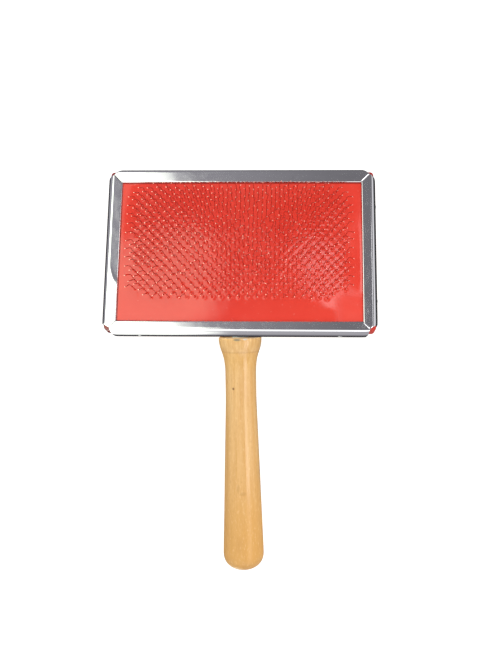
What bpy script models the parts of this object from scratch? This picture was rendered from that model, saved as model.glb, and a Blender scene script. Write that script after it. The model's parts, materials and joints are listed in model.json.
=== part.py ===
"""Slicker brush: a bent-wire pin card on a padded wood board, framed by plated strips, on a turned wood handle.

Metres, +Z up. The brush rests on its back, pins up, on the far edge of its board and on the
handle's butt. The handle points along -Y, X runs across the head, and the origin is at the
middle of the bounding box's base.

The head is modelled in its own frame (x across, y away from the handle, z out of the pin face,
z = 0 on the board's back) under the empty head_frame. The handle is modelled along its own axis
under the empty handle_frame.
"""

from math import asin, cos, pi, radians, sin, tan

import bmesh
import bpy
from mathutils import Matrix, Vector

MM = 0.001

# ---- driving dimensions, mm ----
HEAD_W, HEAD_D = 120.0, 75.0  # over the rails
HEAD_T = 12.8  # board's back to the rails' face
GAP = 0.3  # clearance between neighbouring pieces
SHEET = 0.5  # rail sheet thickness
WALL_LOW = 2.8  # height of the rail walls' lower edge over the board's back
BEND_R = 1.1  # outer radius of the rails' bend
CORNER_CUT = 3.3  # rails stop this far short of the outer corners
WIN_X, WIN_NEAR, WIN_FAR = 53.6, -33.1, 31.3  # window edges
CLOTH_T = 0.8
BOARD_T = 8.0
DOME = 5.0  # rise of the cloth in the window
DOME_P = 2.4

PIN_PITCH, ROW_PITCH, ROWS = 4.0, 2.0, 26
ROW_Y0 = -22.8
PIN_WIRE = 0.45
SHANK_L, TIP_L = 5.5, 6.0  # base to knee, knee to tip
SHANK_LEAN, TIP_LEAN = 19.0, 28.0  # degrees: away from the handle, then back towards it

TANG_W, TANG_T, TANG_IN_BOARD, TANG_IN_HANDLE = 7.0, 2.2, 50.0, 28.0
NECK = -0.2  # the collar's end face leans clear of the near rail, its middle just inside the rail's plane
ASKEW = 1.0  # degrees by which the handle points to +X of straight, as a bent tang leaves it

HANDLE_L = 105.7
COLLAR_R, CREASE_R, WAIST_R, BUTT_R = 9.49, 8.43, 6.84, 9.10
CREASE_S, WAIST_S0, WAIST_S1, BUTT_S = 6.05, 16.8, 24.1, 97.3

OUT_X, OUT_Y = HEAD_W / 2, HEAD_D / 2
CLOTH_X, CLOTH_Y = OUT_X - SHEET - GAP, OUT_Y - SHEET - GAP  # outside of the cloth's skirt
BOARD_X, BOARD_Y = CLOTH_X - CLOTH_T - GAP, CLOTH_Y - CLOTH_T - GAP
CLOTH_TOP = HEAD_T - SHEET - GAP
WIN_Y0, WIN_HY = (WIN_NEAR + WIN_FAR) / 2, (WIN_FAR - WIN_NEAR) / 2

# ---- a clean scene ----
for obj in list(bpy.data.objects):
    bpy.data.objects.remove(obj, do_unlink=True)

brush = bpy.data.collections.new("slicker_brush")
cutters = bpy.data.collections.new("cutters")
bpy.context.scene.collection.children.link(brush)
bpy.context.scene.collection.children.link(cutters)


def material(name, colour, roughness, metallic=0.0, coat=0.0):
    mat = bpy.data.materials.new(name)
    mat.use_nodes = True
    shader = mat.node_tree.nodes["Principled BSDF"]
    shader.inputs["Base Color"].default_value = (*colour, 1.0)
    shader.inputs["Roughness"].default_value = roughness
    shader.inputs["Metallic"].default_value = metallic
    shader.inputs["Coat Weight"].default_value = coat
    return mat


WOOD = material("lacquered_wood", (0.80, 0.47, 0.19), 0.35, coat=0.6)
PLATED = material("plated_steel", (0.72, 0.72, 0.74), 0.12, 1.0)
STEEL = material("steel", (0.55, 0.55, 0.56), 0.35, 1.0)
WIRE = material("pin_wire", (0.52, 0.50, 0.50), 0.25, 1.0)
RUBBER = material("red_rubber", (0.78, 0.06, 0.035), 0.35)
FOAM = material("pad_foam", (0.82, 0.78, 0.70), 0.9)


def empty(name, parent=None):
    obj = bpy.data.objects.new(name, None)
    brush.objects.link(obj)
    obj.parent = parent
    return obj


def add(name, mesh, parent, mat, collection=None):
    obj = bpy.data.objects.new(name, mesh)
    (collection or brush).objects.link(obj)
    obj.parent = parent
    if mat:
        mesh.materials.append(mat)
    return obj


def mesh_of(bm, name):
    bmesh.ops.recalc_face_normals(bm, faces=bm.faces)
    mesh = bpy.data.meshes.new(name)
    bm.to_mesh(mesh)
    bm.free()
    return mesh


def smooth(obj, angle=35):
    obj.data.shade_smooth()
    obj.data.set_sharp_from_angle(angle=radians(angle))


def cutter(obj):
    obj.hide_render = True
    obj.display_type = "WIRE"
    return obj


def box(name, lo, hi, parent, mat=None, collection=None):
    bm = bmesh.new()
    bmesh.ops.create_cube(bm, size=1.0)
    for v in bm.verts:
        v.co = Vector([(lo[i] + hi[i]) / 2 + v.co[i] * (hi[i] - lo[i]) for i in range(3)]) * MM
    return add(name, mesh_of(bm, name), parent, mat, collection)


def peg(name, r0, r1, length, at, direction, parent, mat=None, collection=None, sides=10):
    """A round peg from at along direction: radius r0 at its start, r1 at its end."""
    bm = bmesh.new()
    bmesh.ops.create_cone(
        bm, cap_ends=True, segments=sides, radius1=r0 * MM, radius2=r1 * MM, depth=length * MM
    )
    turn = Vector((0, 0, 1)).rotation_difference(Vector(direction)).to_matrix().to_4x4()
    middle = (Vector(at) + Vector(direction).normalized() * length / 2) * MM
    bmesh.ops.transform(bm, matrix=Matrix.Translation(middle) @ turn, verts=bm.verts)
    return add(name, mesh_of(bm, name), parent, mat, collection)


def turned(name, profile, at, direction, parent, mat=None, collection=None, steps=12):
    """A turned piece: (radius, height) pairs run down the outside from the axis to the axis."""
    bm = bmesh.new()
    verts = [bm.verts.new((r * MM, 0, h * MM)) for r, h in profile]
    for a, b in zip(verts, verts[1:]):
        bm.edges.new((a, b))
    mesh = bpy.data.meshes.new(name)
    bm.to_mesh(mesh)
    bm.free()
    obj = add(name, mesh, parent, mat, collection)
    screw = obj.modifiers.new("turn", "SCREW")
    screw.steps = screw.render_steps = steps
    screw.use_merge_vertices = True
    screw.merge_threshold = 0.00001
    screw.use_smooth_shade = True
    obj.rotation_mode = "QUATERNION"
    obj.rotation_quaternion = Vector((0, 0, 1)).rotation_difference(Vector(direction))
    obj.location = Vector(at) * MM
    return obj


def cut(obj, *others):
    for other in others:
        modifier = obj.modifiers.new("cut", "BOOLEAN")
        modifier.operation = "DIFFERENCE"
        modifier.object = cutter(other)


# ---- how the brush lies ----
# The far edge of the board's back and the butt touch the table, so the head tilts by HEAD_TILT,
# its handle side up, and the handle falls by HANDLE_FALL towards its butt.
HANDLE_BACK = radians(18.5)  # angle between the handle and the head's plane
TANG_Z = TANG_T / 2
COLLAR_Y = -OUT_Y - NECK


def lie():
    """The tilt at which the board's far edge and the butt are equally low, by bisection."""
    low, high = radians(5), radians(18)
    for _ in range(60):
        tilt = (low + high) / 2
        fall = asin(
            sin(HANDLE_BACK) * cos(tilt) - cos(radians(ASKEW)) * cos(HANDLE_BACK) * sin(tilt)
        )
        start = -COLLAR_Y * sin(tilt) + TANG_Z * cos(tilt)
        edge = -BOARD_Y * sin(tilt)
        butt = min(
            start - s * sin(fall) - handle_radius(s) * cos(fall)
            for s in [BUTT_S - 6 + k * 0.25 for k in range(48)]
        )
        if butt < edge:
            low = tilt
        else:
            high = tilt
    return (low + high) / 2


def handle_radius(s):
    """The handle's radius at s along its axis from the collar's end."""
    if s <= CREASE_S:
        return COLLAR_R - (COLLAR_R - CREASE_R) * (s / CREASE_S) ** 2.2
    if s <= WAIST_S0:
        return WAIST_R + (CREASE_R - WAIST_R) * (1 - (s - CREASE_S) / (WAIST_S0 - CREASE_S)) ** 2.6
    if s <= BUTT_S:
        run = max(0.0, s - WAIST_S1)
        slope = (BUTT_R - WAIST_R) / (BUTT_S - WAIST_S1 - 3.0)
        return WAIST_R + slope * (run * run / 12.0 if run < 6.0 else run - 3.0)
    u = (s - BUTT_S) / (HANDLE_L - BUTT_S)
    return BUTT_R * max(0.0, 1 - u**2.6) ** 0.5


HEAD_TILT = lie()

head_frame = empty("head_frame")
head_frame.rotation_euler = (-HEAD_TILT, 0, 0)
handle_frame = empty("handle_frame", head_frame)  # its -Y runs down the handle
handle_frame.location = Vector((0, COLLAR_Y, TANG_Z)) * MM
handle_frame.rotation_euler = (HANDLE_BACK, 0, radians(ASKEW))


# ---- the domed face ----
def dome(x, y):
    """Height of the cloth's outer face."""
    u, v = abs(x) / (WIN_X - 0.4), abs(y - WIN_Y0) / (WIN_HY - 0.4)
    if u >= 1 or v >= 1:
        return CLOTH_TOP
    return CLOTH_TOP + DOME * (1 - u**DOME_P) * (1 - v**DOME_P)


def row_y(row):
    return ROW_Y0 + row * ROW_PITCH


def row_xs(row):
    """Where the row's pins stand: every other row is set half a pitch over, the end rows are shorter."""
    count = 25 - row % 2
    short = {0: 2, 1: 1, ROWS - 2: 1, ROWS - 1: 2}.get(row, 0)
    xs = [(i - (count - 1) / 2) * PIN_PITCH for i in range(count)]
    return xs[short : len(xs) - short] if short else xs


SLOT_X = 49.0  # half-length of the slots that the rows' crowns fill
BAR = 0.25  # half-width of a crown bar
SLOT = BAR + GAP

# ---- card cloth ----
xs = [CLOTH_X - CORNER_CUT, SLOT_X, 36.0, 16.0]
xs = [-CLOTH_X] + [-x for x in xs] + xs[::-1] + [CLOTH_X]
ys = [-CLOTH_Y, -CLOTH_Y + CORNER_CUT, -29.0, -26.0]
for row in range(ROWS):
    ys += [row_y(row) - SLOT, row_y(row) + SLOT]
ys += [29.5, CLOTH_Y - CORNER_CUT, CLOTH_Y]
bm = bmesh.new()
grid = {}
for i, x in enumerate(xs):
    for j, y in enumerate(ys):
        px, py = x, y
        if i in (0, len(xs) - 1) and j in (0, len(ys) - 1):  # the corner, drawn in
            px, py = x * (1 - 1.1 / CLOTH_X), y * (1 - 1.1 / CLOTH_Y)
        grid[i, j] = bm.verts.new((px * MM, py * MM, dome(x, y) * MM))
slot_lows = {round(row_y(row) - SLOT, 4) for row in range(ROWS)}
for i in range(len(xs) - 1):
    for j in range(len(ys) - 1):
        in_slot = round(ys[j], 4) in slot_lows and -SLOT_X <= (xs[i] + xs[i + 1]) / 2 <= SLOT_X
        if not in_slot:
            bm.faces.new((grid[i, j], grid[i + 1, j], grid[i + 1, j + 1], grid[i, j + 1]))
outline = (
    [grid[i, 0] for i in range(len(xs))]
    + [grid[len(xs) - 1, j] for j in range(1, len(ys))]
    + [grid[i, len(ys) - 1] for i in range(len(xs) - 2, -1, -1)]
    + [grid[0, j] for j in range(len(ys) - 2, 0, -1)]
)
skirt = [bm.verts.new((v.co.x, v.co.y, 5.0 * MM)) for v in outline]
for k in range(len(outline)):
    n = (k + 1) % len(outline)
    bm.faces.new((outline[k], outline[n], skirt[n], skirt[k]))
for v in [v for v in bm.verts if not v.link_faces]:
    bm.verts.remove(v)
bmesh.ops.recalc_face_normals(bm, faces=bm.faces)
top = max(bm.faces, key=lambda f: f.calc_center_median().z)
if top.normal.z < 0:
    bmesh.ops.reverse_faces(bm, faces=bm.faces)
mesh = bpy.data.meshes.new("card_cloth")
bm.to_mesh(mesh)
bm.free()
cloth = add("card_cloth", mesh, head_frame, RUBBER)
shell = cloth.modifiers.new("thickness", "SOLIDIFY")
shell.thickness = CLOTH_T * MM
shell.offset = -1.0
shell.use_even_offset = True

# ---- cushion pad under it ----
bm = bmesh.new()
bmesh.ops.create_grid(bm, x_segments=12, y_segments=8, size=1.0)
for v in bm.verts:
    x, y = v.co.x * BOARD_X, v.co.y * BOARD_Y
    z = dome(x, y) - CLOTH_T * 1.15 - GAP - 0.3
    if abs(v.co.x) > 0.99 and abs(v.co.y) > 0.99:
        x, y = x * (1 - 1.4 / BOARD_X), y * (1 - 1.4 / BOARD_Y)
    v.co = Vector((x, y, z)) * MM
sides = bmesh.ops.extrude_face_region(bm, geom=bm.faces[:])
for v in sides["geom"]:
    if isinstance(v, bmesh.types.BMVert):
        v.co.z = (BOARD_T + GAP) * MM
add("cushion_pad", mesh_of(bm, "cushion_pad"), head_frame, FOAM)

# ---- board ----
bm = bmesh.new()
bmesh.ops.create_cube(bm, size=1.0)
for v in bm.verts:
    v.co = Vector((v.co.x * 2 * BOARD_X, v.co.y * 2 * BOARD_Y, (v.co.z + 0.5) * BOARD_T)) * MM
corner_edges = [
    e for e in bm.edges if abs(e.verts[0].co.z - e.verts[1].co.z) > 1 * MM
]
bmesh.ops.bevel(
    bm, geom=corner_edges, offset=4.0 * MM, segments=2, profile=0.5, affect="EDGES"
)
board = add("head_board", mesh_of(bm, "head_board"), head_frame, WOOD)
groove = box(
    "cut_groove",
    (-TANG_W / 2 - GAP, -BOARD_Y - 5, -3),
    (TANG_W / 2 + GAP, -BOARD_Y + TANG_IN_BOARD + GAP, TANG_T + GAP),
    head_frame,
    collection=cutters,
)
cut(board, groove)

# ---- tang: flat in the board's groove, bent down at the neck, then into the handle ----
BACK = tan(HANDLE_BACK / 2) * TANG_T / 2
bm = bmesh.new()
along = Vector((-cos(HANDLE_BACK), -sin(HANDLE_BACK)))
across = Vector((sin(HANDLE_BACK), -cos(HANDLE_BACK)))
bend = Vector((COLLAR_Y, TANG_Z))
low = [
    Vector((-BOARD_Y + TANG_IN_BOARD, 0.0)),
    Vector((COLLAR_Y - BACK, 0.0)),
    bend + along * TANG_IN_HANDLE + across * TANG_T / 2,
]
high = [
    Vector((-BOARD_Y + TANG_IN_BOARD, TANG_T)),
    Vector((COLLAR_Y + BACK, TANG_T)),
    bend + along * TANG_IN_HANDLE - across * TANG_T / 2,
]
outline = [bm.verts.new((-TANG_W / 2 * MM, p.x * MM, p.y * MM)) for p in low + high[::-1]]
face = bm.faces.new(outline)
pushed = bmesh.ops.extrude_face_region(bm, geom=[face])
bmesh.ops.translate(
    bm,
    verts=[v for v in pushed["geom"] if isinstance(v, bmesh.types.BMVert)],
    vec=(TANG_W * MM, 0, 0),
)
for v in bm.verts:  # the end in the handle goes with the handle's lean to one side
    run = COLLAR_Y - v.co.y / MM
    if run > 5:
        v.co.x += run * tan(radians(ASKEW)) * MM
bmesh.ops.triangulate(bm, faces=[f for f in bm.faces if len(f.verts) > 4])
tang = add("tang", mesh_of(bm, "tang"), head_frame, PLATED)

# ---- tang screws: flat heads under the tang, shanks up into the board ----
for n, y in enumerate((-29.0, -12.0, 5.0), 1):
    turned(
        f"tang_screw_{n}",
        [(0, 6.6), (0.9, 5.6), (0.9, 1.3), (2.0, 0.2), (2.0, 0.0), (0, 0.0)],
        (0, y, 0.0),
        (0, 0, 1),
        head_frame,
        STEEL,
    )
    hole = turned(
        f"cut_screw_{n}",
        [(0, 7.0), (1.2, 6.6), (1.2, 1.42), (2.3, 0.32), (2.3, -1.0), (0, -1.0)],
        (0, y, 0.0),
        (0, 0, 1),
        head_frame,
        collection=cutters,
    )
    cut(tang, hole)
    cut(board, hole)


# ---- frame rails ----
def rail(name, half, flange_in, turn, window_in, tacks):
    """A strip with a flange over the card and a wall down the board's side.

    half: the outer face's distance from the head's middle, flange_in: the flange's inner edge,
    turn: about z, window_in: half-length at the flange's inner edge, tacks: places along it."""
    long_half = (OUT_X if turn % 180 == 0 else OUT_Y) - CORNER_CUT
    profile = [(flange_in, HEAD_T)]
    mitre = half - CORNER_CUT
    profile.append((mitre, HEAD_T))
    for k in range(4):
        a = k / 3 * pi / 2
        profile.append(
            (half - BEND_R + BEND_R * sin(a), HEAD_T - BEND_R + BEND_R * cos(a))
        )
    profile.append((half, WALL_LOW))
    bm = bmesh.new()
    rows = []
    for d, z in profile:
        lo, hi = window_in
        if d >= mitre:
            a, b = -long_half, long_half
        else:
            a, b = lo, hi
        rows.append([bm.verts.new((t * MM, d * MM, z * MM)) for t in (a, b)])
    for r0, r1 in zip(rows, rows[1:]):
        bm.faces.new((r0[0], r0[1], r1[1], r1[0]))
    bmesh.ops.recalc_face_normals(bm, faces=bm.faces)
    if max(bm.faces, key=lambda f: f.calc_center_median().z).normal.z < 0:
        bmesh.ops.reverse_faces(bm, faces=bm.faces)
    bmesh.ops.rotate(bm, matrix=Matrix.Rotation(radians(turn), 3, "Z"), verts=bm.verts)
    mesh = bpy.data.meshes.new(name)
    bm.to_mesh(mesh)
    bm.free()
    obj = add(name, mesh, head_frame, PLATED)
    thick = obj.modifiers.new("thickness", "SOLIDIFY")
    thick.thickness = SHEET * MM
    thick.offset = -1.0
    thick.use_even_offset = True
    smooth(obj, 40)
    spin = Matrix.Rotation(radians(turn), 3, "Z")
    for n, t in enumerate(tacks, 1):
        at = spin @ Vector((t, half + GAP + 0.3, 5.6))
        inward = spin @ Vector((0, -1, 0))
        side = name.replace("frame_rail_", "")
        turned(
            f"rail_tack_{side}_{n}",
            [(0, 7.6), (0.45, 6.6), (0.45, 0.35), (1.1, 0.3), (0.9, 0.05), (0, 0.0)],
            at,
            inward,
            head_frame,
            STEEL,
            steps=8,
        )
        hole = peg(
            f"cut_tack_{side}_{n}", 0.8, 0.8, 9.6, at - inward * 1.0, inward, head_frame,
            collection=cutters, sides=8,
        )
        cut(obj, hole)
        cut(board, hole)
        cut(cloth, hole)


MITRE_GAP = GAP * 0.75
rail("frame_rail_far", OUT_Y, WIN_FAR, 0,
     (-(WIN_X + 0.1) + 0, (WIN_X + 0.1)), (-44.0, 0.0, 44.0))
rail("frame_rail_near", OUT_Y, -WIN_NEAR, 180,
     (-(WIN_X + 0.1), (WIN_X + 0.1)), (-44.0, 44.0))
rail("frame_rail_left", OUT_X, WIN_X, 90,
     (WIN_NEAR + 0.1, WIN_FAR - 0.1), (-22.0, 22.0))
rail("frame_rail_right", OUT_X, WIN_X, 270,
     (-WIN_FAR + 0.1, -WIN_NEAR - 0.1), (-22.0, 22.0))

# ---- pin rows ----
def pin_row(row):
    """One row of knee-bent pins on the crown bar that fills the row's slot."""
    y, bar_xs, w = row_y(row), row_xs(row), PIN_WIRE / 2
    bm = bmesh.new()
    slope_y = (dome(0, y + 0.5) - dome(0, y - 0.5)) * 0.5
    stations = [-SLOT_X + GAP + 0.1]
    for x in bar_xs:
        stations += [x - w, x + w]
    stations.append(SLOT_X - GAP - 0.1)
    # The crown bar: a ribbon of triangles in section, open along its top only at the pins' feet.
    near, far, keel = [], [], []
    for k, x in enumerate(stations):
        z = dome(x, y) - 0.08
        near.append(bm.verts.new((x * MM, (y - BAR) * MM, z * MM)))
        pair_end = k in (0, len(stations) - 1)
        if pair_end or k % 2 == 1:  # one far corner to each pin
            fx = x if pair_end else x + w
            far.append(bm.verts.new((fx * MM, (y + BAR) * MM, (dome(fx, y) - 0.08) * MM)))
    for x in [stations[0], *[bar_xs[i] for i in range(2, len(bar_xs) - 2, 4)], stations[-1]]:
        keel.append(bm.verts.new((x * MM, y * MM, (dome(x, y) - 0.72) * MM)))
    # top, between the pins
    bm.faces.new((near[0], near[1], far[1], far[0]))
    for n in range(len(bar_xs) - 1):
        a, b = near[2 + 2 * n], near[3 + 2 * n]
        bm.faces.new((a, b, far[n + 2], far[n + 1]))
    bm.faces.new((near[-2], near[-1], far[-1], far[-2]))

    def side(edge, turned_round):
        """Triangles between the bar's top edge and its keel."""
        i, j = 0, 0
        while i < len(edge) - 1 or j < len(keel) - 1:
            step_top = j == len(keel) - 1 or (
                i < len(edge) - 1 and edge[i + 1].co.x <= keel[j + 1].co.x
            )
            if step_top:
                tri = (edge[i], keel[j], edge[i + 1])
                i += 1
            else:
                tri = (edge[i], keel[j], keel[j + 1])
                j += 1
            bm.faces.new(tri[::-1] if turned_round else tri)

    side(near, False)
    side(far, True)
    bm.faces.new((near[0], far[0], keel[0]))
    bm.faces.new((near[-1], keel[-1], far[-1]))
    # the pins, three-sided: shank to the knee, then drawn to a point
    for n, x in enumerate(bar_xs):
        foot = (near[1 + 2 * n], near[2 + 2 * n], far[n + 1])
        lean_x = -0.5 * (dome(x + 0.5, y) - dome(x - 0.5, y))
        up = Vector((lean_x, -slope_y, 1.0)).normalized()
        aside = Vector((1, 0, 0))
        back = up.cross(aside).normalized()
        shank = (up * cos(radians(SHANK_LEAN)) + back * sin(radians(SHANK_LEAN))) * SHANK_L
        tip = (up * cos(radians(TIP_LEAN)) - back * sin(radians(TIP_LEAN))) * TIP_L
        base = Vector((x, y, dome(x, y)))
        middle = sum((v.co for v in foot), Vector()) / 3 / MM
        knee = [bm.verts.new((base + shank + (v.co / MM - middle)) * MM) for v in foot]
        point = bm.verts.new((base + shank + tip) * MM)
        for a in range(3):
            b = (a + 1) % 3
            bm.faces.new((foot[a], foot[b], knee[b]))
            bm.faces.new((foot[a], knee[b], knee[a]))
            bm.faces.new((knee[a], knee[b], point))
    obj = add(f"pin_row_{row + 1:02d}", mesh_of(bm, "pin_row"), head_frame, WIRE)
    return obj


for row in range(ROWS):
    pin_row(row)

# ---- handle ----
stations = [0.0, 0.5]
for a, b, n in ((0.5, CREASE_S, 4), (CREASE_S, WAIST_S0, 5), (WAIST_S0, BUTT_S, 9)):
    stations += [a + (b - a) * (k + 1) / n for k in range(n)]
stations += [BUTT_S + (HANDLE_L - BUTT_S) * sin(k / 6 * pi / 2) for k in range(1, 7)]
profile = [(0.0, 0.0)]
for s in stations:
    r = handle_radius(s)
    profile.append((max(r - 0.5, 0.0) if s == 0.0 else r, s))
profile[-1] = (0.0, HANDLE_L)
handle = turned(
    "handle", profile[::-1], (0, 0, 0), (0, -1, 0), handle_frame, WOOD, steps=32
)
# the blind slot that the tang is driven into, with a drilled start
slot = box(
    "cut_slot",
    (-TANG_W / 2 - GAP, -TANG_IN_HANDLE - 1.5, -TANG_T / 2 - GAP),
    (TANG_W / 2 + GAP, 2.0, TANG_T / 2 + GAP),
    handle_frame,
    collection=cutters,
)
cut(handle, slot)

# ---- stand the brush on z = 0 over the origin ----
bpy.context.view_layer.update()
graph = bpy.context.evaluated_depsgraph_get()
points = []
for obj in brush.objects:
    if obj.type == "MESH":
        shape = obj.evaluated_get(graph)
        made = shape.to_mesh()
        points += [shape.matrix_world @ v.co for v in made.vertices]
        shape.to_mesh_clear()
low = Vector([min(p[i] for p in points) for i in range(3)])
high = Vector([max(p[i] for p in points) for i in range(3)])
head_frame.location = Vector((-(low.x + high.x) / 2, -(low.y + high.y) / 2, -low.z))
bpy.context.view_layer.update()
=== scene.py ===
"""The finished look of the slicker brush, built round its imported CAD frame.

Every piece is modelled in the head's own frame (x across, y away from the handle, z out of the
pin face, z = 0 on the board's back) or the handle's (its -Y runs down the handle), in metres.
"""

import json
import random
from math import atan2, ceil, cos, degrees, exp, hypot, pi, radians, sin, sqrt, tan

import bmesh
import bpy
import numpy as np
from mathutils import Matrix, Vector, noise


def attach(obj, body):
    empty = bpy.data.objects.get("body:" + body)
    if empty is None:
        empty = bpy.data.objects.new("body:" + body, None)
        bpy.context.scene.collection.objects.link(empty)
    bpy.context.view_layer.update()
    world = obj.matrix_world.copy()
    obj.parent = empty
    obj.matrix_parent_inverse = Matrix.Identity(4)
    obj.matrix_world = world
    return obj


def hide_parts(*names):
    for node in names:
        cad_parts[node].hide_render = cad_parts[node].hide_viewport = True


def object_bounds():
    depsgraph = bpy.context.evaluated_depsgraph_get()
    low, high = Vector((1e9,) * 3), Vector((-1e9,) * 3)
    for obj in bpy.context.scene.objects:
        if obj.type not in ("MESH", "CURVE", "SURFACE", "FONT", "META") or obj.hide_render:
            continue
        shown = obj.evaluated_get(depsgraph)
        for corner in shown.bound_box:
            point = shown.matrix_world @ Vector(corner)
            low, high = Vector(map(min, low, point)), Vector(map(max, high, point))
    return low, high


MM = 0.001

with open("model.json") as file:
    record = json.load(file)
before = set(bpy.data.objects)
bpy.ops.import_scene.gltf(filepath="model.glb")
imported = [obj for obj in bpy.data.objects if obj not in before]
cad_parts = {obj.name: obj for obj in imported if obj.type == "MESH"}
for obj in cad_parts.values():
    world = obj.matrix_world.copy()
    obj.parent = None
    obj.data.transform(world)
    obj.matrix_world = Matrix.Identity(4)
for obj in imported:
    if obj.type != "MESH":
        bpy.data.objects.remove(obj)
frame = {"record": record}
CAD_LO, CAD_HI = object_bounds()
scene = bpy.context.scene

# ---- the CAD's driving dimensions, mm ----
OUT_X, OUT_Y = 60.0, 37.5
HEAD_T = 12.8
SHEET = 0.5
WALL_LOW = 2.8
WIN_X, WIN_NEAR, WIN_FAR = 53.6, -33.1, 31.3
CLOTH_X, CLOTH_Y, CLOTH_T, CLOTH_TOP = 59.2, 36.7, 0.8, 12.0
BOARD_X, BOARD_Y, BOARD_T = 58.1, 35.6, 8.0
DOME, DOME_P = 5.0, 2.4
WIN_Y0, WIN_HY = (WIN_NEAR + WIN_FAR) / 2, (WIN_FAR - WIN_NEAR) / 2
PIN_PITCH, ROW_PITCH, ROWS, ROW_Y0 = 4.0, 2.0, 26, -22.8
FOOT_IN = 0.955  # the feet stand this much closer than the fanned-out bends above them
SHANK_L, TIP_L, SHANK_LEAN, TIP_LEAN = 5.5, 6.0, 12.0, 22.0
TANG_W, TANG_T, TANG_IN_BOARD, TANG_IN_HANDLE = 7.0, 2.2, 50.0, 28.0
COLLAR_Y, TANG_Z = -37.3, 1.1
HANDLE_BACK, ASKEW = radians(18.5), radians(1.0)
HANDLE_L = 105.7
COLLAR_R, CREASE_R, WAIST_R, BUTT_R = 9.49, 8.43, 6.84, 9.10
CREASE_S, WAIST_S0, WAIST_S1, BUTT_S = 6.05, 16.8, 24.1, 97.3
BEND_R = 2.3  # the strips are rolled over a soft bend

mount = next(m for m in frame["record"]["mounts"] if m["name"] == "board_back")
ZL = -Vector(mount["axis"]).normalized()
XL = Vector((1, 0, 0))
YL = ZL.cross(XL).normalized()
HEAD = (
    Matrix.Translation(Vector(mount["pos_m"]) - XL * 30 * MM)
    @ Matrix((XL, YL, ZL)).transposed().to_4x4()
)
HANDLE = (
    HEAD
    @ Matrix.Translation(Vector((0, COLLAR_Y, TANG_Z)) * MM)
    @ Matrix.Rotation(ASKEW, 4, "Z")
    @ Matrix.Rotation(HANDLE_BACK, 4, "X")
)


# ---------------------------------------------------------------- camera
def make_camera():
    face = HEAD @ Matrix.Translation((0, 0, HEAD_T * MM))
    turn = Vector((radians(-13.076), radians(-2.152), radians(-0.516)))
    rot = Matrix.Rotation(turn.length, 4, turn.normalized())
    shift = Matrix.Translation(Vector((-4.30, 36.76, -406.67)) * MM)
    data = bpy.data.cameras.new("camera")
    data.lens = 50.04
    data.sensor_width = 36.0
    data.clip_start, data.clip_end = 0.01, 20.0
    cam = bpy.data.objects.new("camera", data)
    scene.collection.objects.link(cam)
    cam.matrix_world = face @ (shift @ rot).inverted()
    scene.camera = cam


make_camera()


# ---------------------------------------------------------------- node helpers
class Nodes:
    def __init__(self, tree):
        self.tree = tree

    def add(self, kind, **props):
        n = self.tree.nodes.new(kind)
        for k, v in props.items():
            setattr(n, k, v)
        return n

    def link(self, a, b):
        self.tree.links.new(a, b)

    def put(self, socket, value):
        if isinstance(value, bpy.types.NodeSocket):
            self.link(value, socket)
        else:
            socket.default_value = value

    def math(self, op, a, b=None, c=None, clamp=False):
        n = self.add("ShaderNodeMath", operation=op, use_clamp=clamp)
        for s, v in zip(n.inputs, (a, b, c)):
            if v is not None:
                self.put(s, v)
        return n.outputs[0]

    def vec(self, op, a, b=None):
        n = self.add("ShaderNodeVectorMath", operation=op)
        self.put(n.inputs[0], a)
        if b is not None:
            self.put(n.inputs[1], b)
        return n.outputs["Value"] if op in ("DOT_PRODUCT", "LENGTH", "DISTANCE") else n.outputs[0]

    def step(self, x, lo, hi, out_lo=0.0, out_hi=1.0, kind="SMOOTHSTEP"):
        n = self.add("ShaderNodeMapRange", interpolation_type=kind)
        n.clamp = True
        self.put(n.inputs["Value"], x)
        for s, v in (("From Min", lo), ("From Max", hi), ("To Min", out_lo), ("To Max", out_hi)):
            self.put(n.inputs[s], v)
        return n.outputs["Result"]

    def scaled(self, coords, scale, offset=(0, 0, 0)):
        n = self.add("ShaderNodeMapping")
        self.put(n.inputs["Vector"], coords)
        n.inputs["Scale"].default_value = scale
        n.inputs["Location"].default_value = offset
        return n.outputs[0]

    def noise(self, coords, scale=1.0, detail=2.0, rough=0.5, distort=0.0):
        n = self.add("ShaderNodeTexNoise")
        self.put(n.inputs["Vector"], coords)
        self.put(n.inputs["Scale"], scale)
        self.put(n.inputs["Detail"], detail)
        self.put(n.inputs["Roughness"], rough)
        self.put(n.inputs["Distortion"], distort)
        return n.outputs["Fac"]

    def mix(self, fac, a, b, blend="MIX"):
        n = self.add("ShaderNodeMix", data_type="RGBA", blend_type=blend)
        self.put(n.inputs[0], fac)
        for s, v in ((n.inputs[6], a), (n.inputs[7], b)):
            if isinstance(v, tuple) and len(v) == 3:
                v = (*v, 1.0)
            self.put(s, v)
        return n.outputs[2]

    def bump(self, height, strength, distance, normal=None):
        n = self.add("ShaderNodeBump")
        self.put(n.inputs["Height"], height)
        self.put(n.inputs["Strength"], strength)
        self.put(n.inputs["Distance"], distance)
        if normal is not None:
            self.put(n.inputs["Normal"], normal)
        return n.outputs[0]


def material(name):
    mat = bpy.data.materials.new(name)
    mat.use_nodes = True
    shader = mat.node_tree.nodes["Principled BSDF"]
    return mat, Nodes(mat.node_tree), shader


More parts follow.
